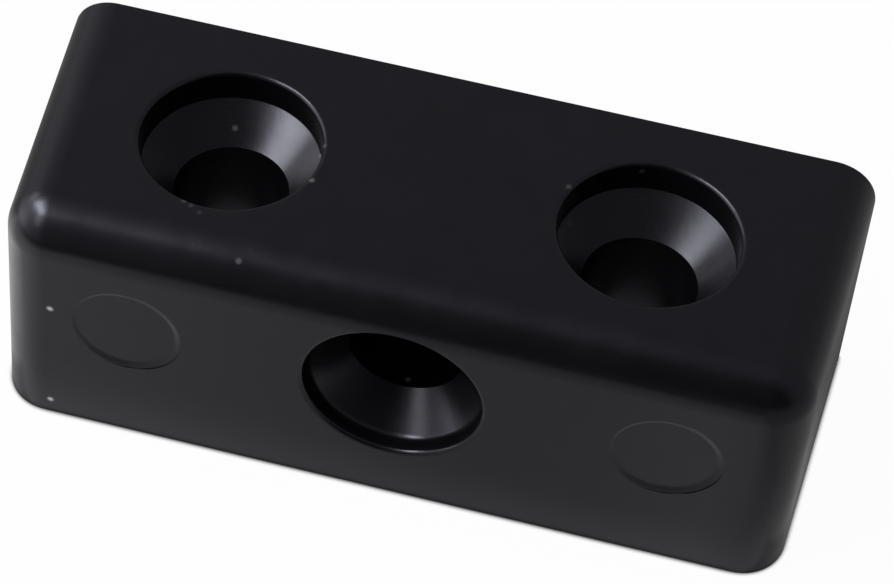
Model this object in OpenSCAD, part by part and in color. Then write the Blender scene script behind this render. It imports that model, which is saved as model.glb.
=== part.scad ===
// Cabinet connector block: one moulded plastic piece that joins two panels at a right angle.
// The base and the back are the flat mating faces. Two countersunk holes run down through the base
// and one runs from the front through the back.

/* [Block] */
// Length along the back edge of the base
body_length = 42.7; // [39:0.1:48]
// Depth from the front face to the back face
body_depth = 15.3; // [14.5:0.1:20]
// Height from the base to the top face
body_height = 14.3; // [13:0.1:18]
// Lean of both ends towards the top, in degrees
lean_up = 3; // [0.5:0.5:4]
// Lean of both ends towards the front, in degrees
lean_front = 5; // [0.5:0.5:6]
// Rounding of the edges away from the two mating faces
edge_radius = 2.4; // [0.8:0.1:2.6]

/* [Top holes] */
// Distance between the axes of the two top holes
top_hole_spacing = 20.6; // [18:0.1:22]
// Distance of the top hole axes from the back face
top_hole_setback = 7.3; // [6.5:0.1:7.6]
// Depth of the straight recess above the countersink in the top face
top_recess_depth = 1.7; // [0.5:0.1:3]

/* [Front hole] */
// Height of the front hole axis above the base
front_hole_height = 7.8; // [6:0.1:8.2]
// Depth of the straight recess above the countersink in the front face
front_recess_depth = 0.9; // [0.3:0.1:3]

/* [Screw seats] */
// Diameter of the recess for the screw head
seat_diameter = 8.8; // [8:0.1:9.5]
// Diameter of the bore for the screw shank
bore_diameter = 5.7; // [4:0.1:6.2]
// Full angle of the countersink, in degrees
sink_angle = 76; // [70:1:110]
// Eased edge where a screw hole opens in its face
rim_ease = 0.2; // [0.1:0.05:0.3]

/* [Pin marks] */
// Distance between the two shallow ejector pin marks on the front face
mark_spacing = 26.6; // [25:0.1:28]
// Height of the pin mark centres above the base
mark_height = 8; // [5.5:0.1:8.5]
// Diameter of the pin marks
mark_diameter = 5.6; // [4:0.1:6]
// Width of the sloping ring round the flat floor of a pin mark
mark_ring = 0.45; // [0.2:0.05:0.8]
// Depth of the pin marks
mark_depth = 0.2; // [0.1:0.05:0.4]

/* [Hidden] */
$fn = 64;
// Slopes of the ends and the length of an end face's outward vector
slope_up = tan(lean_up);
slope_front = tan(lean_front);
end_norm = norm([1, slope_front, slope_up]);
front_y = -body_depth / 2;
back_y = body_depth / 2;
// Ball radius whose outermost points lie on the faces
ball_radius = edge_radius / cos(180 / $fn);
// Overrun of the rounded body that is cut off flat at the base and the back
overrun = 2 * edge_radius;
// Depths and heights of the ball centres
ball_y = [front_y + edge_radius, back_y + overrun];
ball_z = [-overrun, body_height - edge_radius];
// Clearance of a cutting tool past the faces it opens
tool_gap = 1;
sink_depth = (seat_diameter - bore_diameter) / 2 / tan(sink_angle / 2);
// Growth of the pin mark's radius past the front face, at the slope of its ring
mark_flare = tool_gap * mark_ring / mark_depth;

// Half length between the ball centres at a given depth and height
function ball_x(y, z) =
    body_length / 2 - z * slope_up - (back_y - y) * slope_front - edge_radius * end_norm;

// Rounded body that narrows to the top and the front and runs on past the base and the back
module rounded_body() {
    hull()
        for (side = [-1, 1], y = ball_y, z = ball_z)
            translate([side * ball_x(y, z), y, z])
                sphere(r = ball_radius);
}

// Space taken up by the moulding, square at the base and the back
module mating_space() {
    translate([-body_length, front_y - tool_gap, 0])
        cube([2 * body_length, body_depth + tool_gap, body_height + tool_gap]);
}

// Cutting tool for a countersunk screw hole that opens at the origin and runs down
module screw_hole(recess_depth, thickness) {
    seat_radius = seat_diameter / 2;
    bore_radius = bore_diameter / 2;
    rotate_extrude()
        polygon([
            [0, tool_gap],
            [seat_radius + rim_ease + tool_gap, tool_gap],
            [seat_radius, -rim_ease],
            [seat_radius, -recess_depth],
            [bore_radius, -recess_depth - sink_depth],
            [bore_radius, -thickness - tool_gap],
            [0, -thickness - tool_gap]
        ]);
}

// Shallow dished mark left in the front face by an ejector pin
module pin_mark() {
    translate([0, front_y + mark_depth, mark_height])
        rotate([90, 0, 0])
            cylinder(
                d1 = mark_diameter - 2 * mark_ring,
                d2 = mark_diameter + 2 * mark_flare,
                h = mark_depth + tool_gap
            );
}

module connector_block() {
    color([0.05, 0.05, 0.06])
        difference() {
            intersection() {
                rounded_body();
                mating_space();
            }
            for (side = [-1, 1])
                translate([side * top_hole_spacing / 2, back_y - top_hole_setback, body_height])
                    screw_hole(top_recess_depth, body_height);
            translate([0, front_y, front_hole_height])
                rotate([90, 0, 0])
                    screw_hole(front_recess_depth, body_depth);
            for (side = [-1, 1])
                translate([side * mark_spacing / 2, 0, 0])
                    pin_mark();
        }
}

connector_block();
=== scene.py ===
import math

import bmesh
import bpy
from mathutils import Matrix, Vector


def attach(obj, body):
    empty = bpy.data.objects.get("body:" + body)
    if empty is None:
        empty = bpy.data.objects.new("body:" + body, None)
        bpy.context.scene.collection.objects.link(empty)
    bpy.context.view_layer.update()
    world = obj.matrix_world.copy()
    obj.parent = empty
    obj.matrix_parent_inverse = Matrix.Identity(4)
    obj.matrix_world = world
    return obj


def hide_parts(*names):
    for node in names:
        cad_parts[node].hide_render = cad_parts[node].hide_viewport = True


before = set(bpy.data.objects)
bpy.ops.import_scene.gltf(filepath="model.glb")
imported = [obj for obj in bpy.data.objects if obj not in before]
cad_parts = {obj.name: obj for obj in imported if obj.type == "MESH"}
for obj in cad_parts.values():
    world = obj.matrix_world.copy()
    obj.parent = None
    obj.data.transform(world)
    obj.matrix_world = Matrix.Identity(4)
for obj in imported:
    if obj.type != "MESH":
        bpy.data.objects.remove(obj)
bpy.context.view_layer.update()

# The moulded block: one solid piece of satin black plastic. Its base and back are flat and meet their
# neighbours in crisp edges. All other edges are rounded, and both ends lean in to the top and the front.
# It is the hull of a few round forms, one at each corner, as a mould maker would round a plain block.
MM = 0.001
length, depth, height = 42.7 * MM, 15.3 * MM, 14.3 * MM
slope_up, slope_front = math.tan(math.radians(3)), math.tan(math.radians(5))
edge_radius, crisp_radius = 2.4 * MM, 0.1 * MM
front_y, back_y = -depth / 2, depth / 2


def corner_x(y, z, reach):
    """Half length at which a form that reaches this far along X touches the leaning end."""
    return length / 2 - z * slope_up - (back_y - y) * slope_front - reach


BALL, RING, BEAD = 0, 1, 2
ball_reach = edge_radius * math.hypot(1, slope_up, slope_front)
upright_reach = edge_radius * math.hypot(1, slope_up)
level_reach = edge_radius * math.hypot(1, slope_front)
round_y, round_z = front_y + edge_radius, height - edge_radius
crisp_y, crisp_z = back_y - crisp_radius, crisp_radius
corner_forms = []
for kind, y, z, reach, turn in (
    (BALL, round_y, round_z, ball_reach, 0),
    (RING, crisp_y, round_z, upright_reach, math.pi / 2),
    (RING, round_y, crisp_z, level_reach, 0),
    (BEAD, crisp_y, crisp_z, crisp_radius, 0),
):
    for side in (-1, 1):
        corner_forms.append((kind, (side * corner_x(y, z, reach), y, z), (turn, 0, 0)))

corner_mesh = bpy.data.meshes.new("block_corners")
corner_mesh.from_pydata([place for _, place, _ in corner_forms], [], [])
form_kind = corner_mesh.attributes.new("form", "INT", "POINT")
form_turn = corner_mesh.attributes.new("turn", "FLOAT_VECTOR", "POINT")
for i, (kind, _, turn) in enumerate(corner_forms):
    form_kind.data[i].value = kind
    form_turn.data[i].vector = turn

# The screw holes and pin marks: two holes run down from the top and one runs in from the front, each with
# an eased rim, a straight recess and a cone for a countersunk head. The top core pins were turned in fine
# steps, which those cones still show. Two ejector pins left shallow dished marks. All are turned profiles.
seat_radius, bore_radius = 4.4 * MM, 2.85 * MM
sink_half_angle = math.radians(38)
sink_depth = (seat_radius - bore_radius) / math.tan(sink_half_angle)
hole_spacing, hole_y = 20.6 * MM, back_y - 7.3 * MM
top_recess, front_recess = 1.7 * MM, 0.9 * MM
front_hole_z = 7.8 * MM
rim_radius = 0.25 * MM
top_steps, tread_slope, tread_root = 40, math.radians(29.5), 0.04 * MM
plain_root = 0.7 * MM
pin_spacing, pin_z, pin_radius = 26.6 * MM, 8.0 * MM, 2.8 * MM
pin_depth, pin_ring, pin_blend = 0.13 * MM, 0.3 * MM, 0.3 * MM
pin_turn = (math.pi / 2 + math.radians(0.6), 0, math.radians(1.4))
overshoot = 1 * MM
TURNS, RIM_STEPS, ROOT_STEPS, PIN_STEPS = 160, 8, 6, 5
# an arc that leaves a face starts a little past the face's own direction, so that no sliver is cut there
rim_start, pin_start = 95, 91


def arc(centre, radius, start, end, steps):
    """Profile points on a circle, with angles in degrees counted from the outward direction."""
    points = []
    for i in range(steps + 1):
        a = math.radians(start + (end - start) * i / steps)
        points.append((centre[0] + radius * math.cos(a), centre[1] + radius * math.sin(a)))
    return points


def turned_form(name, profile):
    """Closed form turned about Z from a profile of radius and height, first point at the top."""
    mesh = bpy.data.meshes.new(name)
    bm = bmesh.new()
    rings = []
    for radius, z in profile:
        turn = [2 * math.pi * k / TURNS for k in range(TURNS)]
        rings.append([bm.verts.new((radius * math.cos(a), radius * math.sin(a), z)) for a in turn])
    for upper, lower in zip(rings, rings[1:]):
        for k in range(TURNS):
            n = (k + 1) % TURNS
            bm.faces.new((upper[k], lower[k], lower[n], upper[n]))
    bm.faces.new(rings[0])
    bm.faces.new(reversed(rings[-1]))
    bmesh.ops.recalc_face_normals(bm, faces=bm.faces)
    bm.to_mesh(mesh)
    bm.free()
    return bpy.data.objects.new(name, mesh)


def screw_profile(recess, thickness, steps, slope, root_radius):
    """Rounded mouth, straight recess with a rounded root, cone in steps of this slope and bore."""
    points = [(seat_radius + rim_radius, overshoot)]
    points += arc((seat_radius + rim_radius, -rim_radius), rim_radius, rim_start, 180, RIM_STEPS)
    # the root's circle touches the wall and the first step
    turn = math.pi / 2 - slope
    root = (seat_radius - root_radius, -recess + root_radius * math.tan(turn / 2))
    points += arc(root, root_radius, 0, -math.degrees(turn), ROOT_STEPS)
    tread = (seat_radius - bore_radius) / steps
    for i in range(steps):
        radius, z = seat_radius - i * tread, -recess - i * sink_depth / steps
        if i > 0:
            points.append((radius, z))
        points.append((radius - tread, z - tread * math.tan(slope)))
    points.append((bore_radius, -thickness - overshoot))
    return points


def pin_profile():
    """Dished mark whose sloping ring blends into the face and into its flat floor."""
    slope = math.atan2(pin_depth, pin_ring)
    blend = pin_blend * math.tan(slope / 2)
    slope_degrees = math.degrees(slope)
    lip = (pin_radius + blend, -pin_blend)
    floor_edge = (pin_radius - pin_ring - blend, pin_blend - pin_depth)
    points = [(pin_radius + blend, overshoot)]
    points += arc(lip, pin_blend, pin_start, 90 + slope_degrees, PIN_STEPS)
    points += arc(floor_edge, pin_blend, slope_degrees - 90, -90, PIN_STEPS)
    return points


cone_slope = math.pi / 2 - sink_half_angle
top_profile = screw_profile(top_recess, height, top_steps, tread_slope, tread_root)
front_profile = screw_profile(front_recess, depth, 1, cone_slope, plain_root)
top_drill = turned_form("top_drill", top_profile)
front_drill = turned_form("front_drill", front_profile)
pin_form = turned_form("pin_form", pin_profile())


def node(tree, kind, inputs=(), **settings):
    """A node of any tree, with its settings made and its inputs set or linked."""
    made = tree.nodes.new(kind)
    for key, value in settings.items():
        setattr(made, key, value)
    for key, value in dict(inputs).items():
        if isinstance(value, bpy.types.NodeSocket):
            tree.links.new(value, made.inputs[key])
        else:
            made.inputs[key].default_value = value
    return made


maker_tree = bpy.data.node_groups.new("Moulded block", "GeometryNodeTree")
for name, kind in (
    ("Corners", "Geometry"), ("Edge Radius", "Float"), ("Crisp Radius", "Float"),
    ("Top Drill", "Object"), ("Front Drill", "Object"), ("Pin Form", "Object"),
    ("Hole Start", "Vector"), ("Hole Step", "Vector"), ("Front Hole", "Vector"),
    ("Pin Start", "Vector"), ("Pin Step", "Vector"), ("Plastic", "Material"),
):
    maker_tree.interface.new_socket(name, in_out="INPUT", socket_type="NodeSocket" + kind)
maker_tree.interface.new_socket("Block", in_out="OUTPUT", socket_type="NodeSocketGeometry")
given = maker_tree.nodes.new("NodeGroupInput").outputs
ROUND, CRISP = 128, 16


def step(kind, inputs=(), **settings):
    """First output of a new node of the block's tree."""
    return node(maker_tree, kind, inputs, **settings).outputs[0]


ball = step("GeometryNodeMeshUVSphere", {
    "Segments": ROUND, "Rings": ROUND // 2, "Radius": given["Edge Radius"]})
bead = step("GeometryNodeMeshUVSphere", {
    "Segments": CRISP, "Rings": CRISP // 2, "Radius": given["Crisp Radius"]})
ring_radius = step("ShaderNodeMath", {
    0: given["Edge Radius"], 1: given["Crisp Radius"]}, operation="SUBTRACT")
ring_path = step("GeometryNodeCurvePrimitiveCircle", {"Resolution": ROUND, "Radius": ring_radius})
ring_round = step("GeometryNodeCurvePrimitiveCircle", {
    "Resolution": CRISP, "Radius": given["Crisp Radius"]})
ring = step("GeometryNodeCurveToMesh", {"Curve": ring_path, "Profile Curve": ring_round})
kind_of = step("GeometryNodeInputNamedAttribute", {"Name": "form"}, data_type="INT")
turn_of = step("GeometryNodeInputNamedAttribute", {"Name": "turn"}, data_type="FLOAT_VECTOR")
forms = node(maker_tree, "GeometryNodeJoinGeometry")
for kind, shape in ((BALL, ball), (RING, ring), (BEAD, bead)):
    chosen = step("FunctionNodeCompare", {2: kind_of, 3: kind}, data_type="INT", operation="EQUAL")
    placed = step("GeometryNodeInstanceOnPoints", {
        "Points": given["Corners"], "Selection": chosen, "Instance": shape, "Rotation": turn_of})
    maker_tree.links.new(placed, forms.inputs[0])
body = step("GeometryNodeConvexHull", {0: step("GeometryNodeRealizeInstances", {0: forms.outputs[0]})})

drills = node(maker_tree, "GeometryNodeJoinGeometry")
for start, pace, count, form, turn in (
    ("Hole Start", "Hole Step", 2, "Top Drill", (0, 0, 0)),
    ("Front Hole", "Pin Step", 1, "Front Drill", (math.pi / 2, 0, 0)),
    ("Pin Start", "Pin Step", 2, "Pin Form", pin_turn),
):
    row = step("GeometryNodeMeshLine", {
        "Count": count, "Start Location": given[start], "Offset": given[pace]})
    tool = node(maker_tree, "GeometryNodeObjectInfo", {"Object": given[form]}).outputs["Geometry"]
    placed = step("GeometryNodeInstanceOnPoints", {"Points": row, "Instance": tool, "Rotation": turn})
    maker_tree.links.new(placed, drills.inputs[0])
cutters = step("GeometryNodeRealizeInstances", {0: drills.outputs[0]})
drilled = step("GeometryNodeMeshBoolean", {
    "Mesh 1": body, "Mesh 2": cutters}, operation="DIFFERENCE", solver="EXACT")
whole = step("GeometryNodeRealizeInstances", {0: drilled})
finished = step("GeometryNodeSetMaterial", {"Geometry": whole, "Material": given["Plastic"]})
node(maker_tree, "NodeGroupOutput", {0: finished})

# Dust: pale grains that lie on the front and at the rims of the holes. Each is a small soft spot in the
# plastic's colour, because it stands too little proud of the face to show a shape.
speck_group = bpy.data.node_groups.new("Speck", "ShaderNodeTree")
for name, kind in (
    ("Spot", "Vector"), ("Centre", "Vector"), ("Size", "Float"), ("Shade", "Float"), ("Below", "Float"),
):
    speck_group.interface.new_socket(name, in_out="INPUT", socket_type="NodeSocket" + kind)
speck_group.interface.new_socket("Shade", in_out="OUTPUT", socket_type="NodeSocketFloat")
grain_in = speck_group.nodes.new("NodeGroupInput").outputs
apart = node(speck_group, "ShaderNodeVectorMath", {
    0: grain_in["Spot"], 1: grain_in["Centre"]}, operation="DISTANCE")
fade = node(speck_group, "ShaderNodeMapRange", {
    "Value": apart.outputs["Value"], "From Min": grain_in["Size"], "From Max": 0.0,
    "To Max": grain_in["Shade"]}, interpolation_type="SMOOTHERSTEP")
topmost = node(speck_group, "ShaderNodeMath", {
    0: fade.outputs[0], 1: grain_in["Below"]}, operation="MAXIMUM")
node(speck_group, "NodeGroupOutput", {0: topmost.outputs[0]})

# Satin black moulded plastic: nearly black all through, with a fine spark-eroded grain from the mould, a
# slight waviness where the thick walls sank as they cooled, and faint smears of handling on the gloss.
plastic = bpy.data.materials.new("black_plastic")
plastic.use_nodes = True
shade = plastic.node_tree
shade.nodes.clear()
where = node(shade, "ShaderNodeTexCoord").outputs["Object"]
grain = node(shade, "ShaderNodeTexNoise", {
    "Vector": where, "Scale": 5200.0, "Detail": 2.0, "Roughness": 0.6})
waves = node(shade, "ShaderNodeTexNoise", {
    "Vector": where, "Scale": 190.0, "Detail": 1.0, "Roughness": 0.4})
smears = node(shade, "ShaderNodeTexNoise", {
    "Vector": where, "Scale": 420.0, "Detail": 4.0, "Roughness": 0.6, "Distortion": 0.6})
gloss = node(shade, "ShaderNodeMapRange", {
    "Value": smears.outputs["Fac"], "From Min": 0.3, "From Max": 0.7, "To Min": 0.22, "To Max": 0.29})
tint = node(shade, "ShaderNodeMix", {
    "Factor": smears.outputs["Fac"], 6: (0.0034, 0.0031, 0.0042, 1), 7: (0.0046, 0.0043, 0.0056, 1)},
    data_type="RGBA")

# each grain has its place and reach in mm and its paleness, and is laid over the ones before it
dust = None
for place, size, pale in (
    ((-17.0, -7.65, 8.4), 0.26, 0.75), ((-17.4, -7.65, 1.0), 0.26, 0.75),
    ((-11.1, 3.7, 11.4), 0.24, 0.14), ((-5.9, -1.1, 14.3), 0.24, 0.12), ((-5.9, 1.3, 14.2), 0.2, 0.08),
    ((-6.3, 2.1, 12.6), 0.2, 0.1), ((-7.9, -6.6, 13.9), 0.24, 0.1), ((6.4, 1.6, 12.3), 0.24, 0.05),
    ((6.0, 2.1, 14.3), 0.24, 0.05), ((9.2, 4.6, 13.8), 0.24, 0.06), ((0.2, -4.3, 5.0), 0.24, 0.14),
    ((-11.3, -4.1, 14.3), 0.24, 0.05), ((-10.9, -4.3, 14.3), 0.2, 0.04), ((-10.4, -4.6, 14.3), 0.2, 0.03),
):
    speck = node(shade, "ShaderNodeGroup", node_tree=speck_group)
    for name, value in (("Centre", Vector(place) * MM), ("Size", size * MM), ("Shade", pale)):
        speck.inputs[name].default_value = value
    shade.links.new(where, speck.inputs["Spot"])
    if dust is not None:
        shade.links.new(dust, speck.inputs["Below"])
    dust = speck.outputs[0]
dusty = node(shade, "ShaderNodeMix", {
    "Factor": dust, 6: tint.outputs[2], 7: (0.9, 0.9, 0.9, 1)}, data_type="RGBA")
sunk = node(shade, "ShaderNodeBump", {"Height": waves.outputs["Fac"], "Distance": 0.04 * MM})
rough = node(shade, "ShaderNodeBump", {
    "Height": grain.outputs["Fac"], "Distance": 0.004 * MM, "Strength": 0.8, "Normal": sunk.outputs[0]})
surface = node(shade, "ShaderNodeBsdfPrincipled", {
    "Base Color": dusty.outputs[2], "Roughness": gloss.outputs[0], "Normal": rough.outputs[0],
    "IOR": 1.5, "Specular IOR Level": 0.5, "Specular Tint": (0.85, 0.86, 1.0, 1)})
node(shade, "ShaderNodeOutputMaterial", {"Surface": surface.outputs[0]})

# The tree is run on the corner points, and its result becomes the block's own plain mesh. Flat faces keep
# flat normals beside the rounding, and only the true corners inside the holes stay sharp.
maker = bpy.data.objects.new("block_maker", corner_mesh)
bpy.context.scene.collection.objects.link(maker)
run = maker.modifiers.new("Moulded block", "NODES")
run.node_group = maker_tree
sockets = {s.name: s.identifier for s in maker_tree.interface.items_tree if s.in_out == "INPUT"}
for name, value in (
    ("Edge Radius", edge_radius), ("Crisp Radius", crisp_radius),
    ("Top Drill", top_drill), ("Front Drill", front_drill), ("Pin Form", pin_form),
    ("Hole Start", (-hole_spacing / 2, hole_y, height)), ("Hole Step", (hole_spacing, 0, 0)),
    ("Front Hole", (0, front_y, front_hole_z)),
    ("Pin Start", (-pin_spacing / 2, front_y, pin_z)), ("Pin Step", (pin_spacing, 0, 0)),
    ("Plastic", plastic),
):
    run[sockets[name]] = value


def plain_copy(source, name):
    """Object with the evaluated mesh of another object, at the origin."""
    mesh = bpy.data.meshes.new_from_object(source.evaluated_get(bpy.context.evaluated_depsgraph_get()))
    mesh.name = name
    made = bpy.data.objects.new(name, mesh)
    bpy.context.scene.collection.objects.link(made)
    return made


SHARP, FLAT, WELD = math.radians(32), math.radians(0.05), 0.0005 * MM
raw = plain_copy(maker, "block_raw")
bm = bmesh.new()
bm.from_mesh(raw.data)
bmesh.ops.remove_doubles(bm, verts=bm.verts, dist=WELD)
bmesh.ops.dissolve_limit(bm, angle_limit=FLAT, verts=bm.verts, edges=bm.edges)
bmesh.ops.recalc_face_normals(bm, faces=bm.faces)
for face in bm.faces:
    face.smooth = True
for edge in bm.edges:
    edge.smooth = len(edge.link_faces) == 2 and edge.calc_face_angle() < SHARP
bm.to_mesh(raw.data)
bm.free()
even = raw.modifiers.new("even shading", "WEIGHTED_NORMAL")
even.keep_sharp = True
even.weight = 80
block = plain_copy(raw, "moulded_block")
for spent in (maker, raw, top_drill, front_drill, pin_form):
    bpy.data.objects.remove(spent)
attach(block, "root")
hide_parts("connector_block")

# The table: white paper that lies far beyond the view. The camera sees it white, with a painted contact
# shadow where the block rests. The gloss mirrors a painted glow from it, brightest close to the block and
# to the left, with painted shade where it darkens towards the front and where the block rests.
table_reach = 1.2
mirror_gain, share_below, glow_share = 1.4, 0.6, 0.97
corners = [(x * table_reach, y * table_reach, 0) for x, y in ((-1, -1), (1, -1), (1, 1), (-1, 1))]
table_mesh = bpy.data.meshes.new("table")
table_mesh.from_pydata(corners, [], [(0, 1, 2, 3)])
table = bpy.data.objects.new("table", table_mesh)
bpy.context.scene.collection.objects.link(table)
paper = bpy.data.materials.new("white_paper")
paper.use_nodes = True
white = paper.node_tree
white.nodes.clear()


def levels(tree, value, stops):
    """Brightness that follows a value through stops of value and level, and is held at its ends."""
    first, last = stops[0][0], stops[-1][0]
    share = node(tree, "ShaderNodeMapRange", {"Value": value, "From Min": first, "From Max": last})
    made = node(tree, "ShaderNodeValToRGB", {"Fac": share.outputs[0]})
    elements = made.color_ramp.elements
    while len(elements) < len(stops):
        elements.new(0.5)
    for element, (place, level) in zip(elements, stops):
        element.position = (place - first) / (last - first)
        element.color = (level, level, level, 1)
    return made.outputs["Color"]


def sums(tree, operation, *values):
    """Output of a new math node."""
    return node(tree, "ShaderNodeMath", dict(enumerate(values)), operation=operation).outputs[0]


path = node(white, "ShaderNodeLightPath").outputs
on_table = node(white, "ShaderNodeTexCoord").outputs["Object"]
spot = node(white, "ShaderNodeSeparateXYZ", {0: on_table}).outputs
# painted light and shade: the glow that the gloss mirrors is brighter to the left and near the block, and
# darker towards the front and the right
across = levels(white, spot["X"], [
    (-32 * MM, 1.0), (-20 * MM, 0.58), (-8 * MM, 0.48), (4 * MM, 0.41), (10 * MM, 0.43), (16 * MM, 0.52),
    (27 * MM, 0.14)])
along = levels(white, spot["Y"], [
    (-62 * MM, 0.03), (-38 * MM, 0.66), (-17 * MM, 0.68), (-10 * MM, 0.6), (-8 * MM, 0.85), (-2 * MM, 0.9),
    (5 * MM, 0.4), (12 * MM, 0.15)])
right_floor = levels(white, spot["X"], [(17 * MM, 0.0), (26 * MM, 0.25)])
mirrored = sums(white, "MULTIPLY", sums(white, "MULTIPLY", across, along), mirror_gain)
mirrored = sums(white, "MAXIMUM", mirrored, right_floor)
in_length = sums(white, "LESS_THAN", sums(white, "ABSOLUTE", spot["X"]), length / 2)
in_depth = sums(white, "LESS_THAN", sums(white, "ABSOLUTE", spot["Y"]), depth / 2)
# painted shade: under the block the mirrored glow is lowered to share_below of its level
below = sums(white, "MULTIPLY", in_length, in_depth)
painted_shade_below = sums(white, "MULTIPLY_ADD", below, share_below - 1.0, 1.0)
mirrored = sums(white, "MULTIPLY", mirrored, painted_shade_below)
shown = sums(white, "MAXIMUM", mirrored, path["Is Camera Ray"])
# painted contact shadow: ambient occlusion darkens the floor's glow, as the camera and the gloss see it,
# where the block rests
under = node(white, "ShaderNodeAmbientOcclusion", {"Distance": 0.6 * MM}).outputs["AO"]
painted_contact_shadow = levels(white, under, [(0.48, 0.02), (0.7, 1.0)])
glow = node(white, "ShaderNodeEmission", {"Strength": sums(white, "MULTIPLY", shown, painted_contact_shadow)})
matt = node(white, "ShaderNodeBsdfDiffuse", {"Color": (0.86, 0.86, 0.86, 1)})
seen = sums(white, "MAXIMUM", path["Is Camera Ray"], path["Is Glossy Ray"])
glowing = sums(white, "MULTIPLY", seen, glow_share)
blend = node(white, "ShaderNodeMixShader", {0: glowing, 1: matt.outputs[0], 2: glow.outputs[0]})
node(white, "ShaderNodeOutputMaterial", {0: blend.outputs[0]})
table_mesh.materials.append(paper)

# The room and its lights: dim above and behind, dark in front and brighter to the left, where a window
# of four panes stands. The bright and the upper pane light the cones, and the other two are faint.
left_gain = 3.3
world = bpy.data.worlds.new("room")
bpy.context.scene.world = world
world.use_nodes = True
room = world.node_tree
room.nodes.clear()
path = node(room, "ShaderNodeLightPath").outputs
towards = node(room, "ShaderNodeTexCoord").outputs["Generated"]
look = node(room, "ShaderNodeSeparateXYZ", {0: towards}).outputs
behind = levels(room, look["Y"], [(-0.65, 0.03), (-0.45, 0.15), (-0.25, 0.27), (0.5, 0.22)])
left = levels(room, look["X"], [(-1.0, 1.0), (-0.8, 0.4), (-0.1, 0.0)])
left_front = levels(room, look["Y"], [(-0.5, 0.45), (-0.2, 0.65), (0.5, 0.12)])
left = sums(room, "MULTIPLY", left, left_front)
dim = node(room, "ShaderNodeBackground", {
    "Color": (0.97, 0.95, 1.0, 1), "Strength": sums(room, "MULTIPLY_ADD", left, left_gain, behind)})
plain = node(room, "ShaderNodeBackground", {"Color": (1, 1, 1, 1)})
blend = node(room, "ShaderNodeMixShader", {
    0: path["Is Camera Ray"], 1: dim.outputs[0], 2: plain.outputs[0]})
node(room, "ShaderNodeOutputWorld", {0: blend.outputs[0]})


def window(name, azimuth, elevation, width, tall, level):
    """Soft pane that shines at the block. Azimuth 0 is along +X, and level is its own brightness."""
    a, e, distance = math.radians(azimuth), math.radians(elevation), 0.8
    light = bpy.data.lights.new(name, "AREA")
    light.shape = "RECTANGLE"
    light.size, light.size_y = width, tall
    light.energy = level * math.pi * width * tall
    made = bpy.data.objects.new(name, light)
    away = Vector((math.cos(a) * math.cos(e), math.sin(a) * math.cos(e), math.sin(e)))
    made.location = Vector((0, 0, height / 2)) + away * distance
    made.rotation_euler = away.to_track_quat("Z", "Y").to_euler()
    bpy.context.scene.collection.objects.link(made)


window("bright_pane", 178, 48, 0.18, 0.24, 10.5)
window("upper_pane", -158, 54, 0.30, 0.18, 13.0)
window("front_pane", -136, 38, 0.22, 0.22, 2.4)
window("back_pane", 158, 29, 0.26, 0.22, 1.8)

# The camera stands where the photograph's camera stood.
camera = bpy.data.objects.new("camera", bpy.data.cameras.new("camera"))
right, down = Vector((0.970695, 0.22922, 0.072173)), Vector((0.222047, -0.740655, -0.634133))
stand = Vector((12.027, -75.718, 99.338)) * MM
facing = Matrix((right, -down, down.cross(right))).transposed()
camera.matrix_world = Matrix.Translation(stand) @ facing.to_4x4()
photo_width, focal_pixels = 894, 2400
camera.data.sensor_width = 36.0
camera.data.lens = camera.data.sensor_width * focal_pixels / photo_width
camera.data.clip_start = 5 * MM
bpy.context.scene.collection.objects.link(camera)
bpy.context.scene.camera = camera
bpy.context.scene.view_settings.view_transform = "Standard"
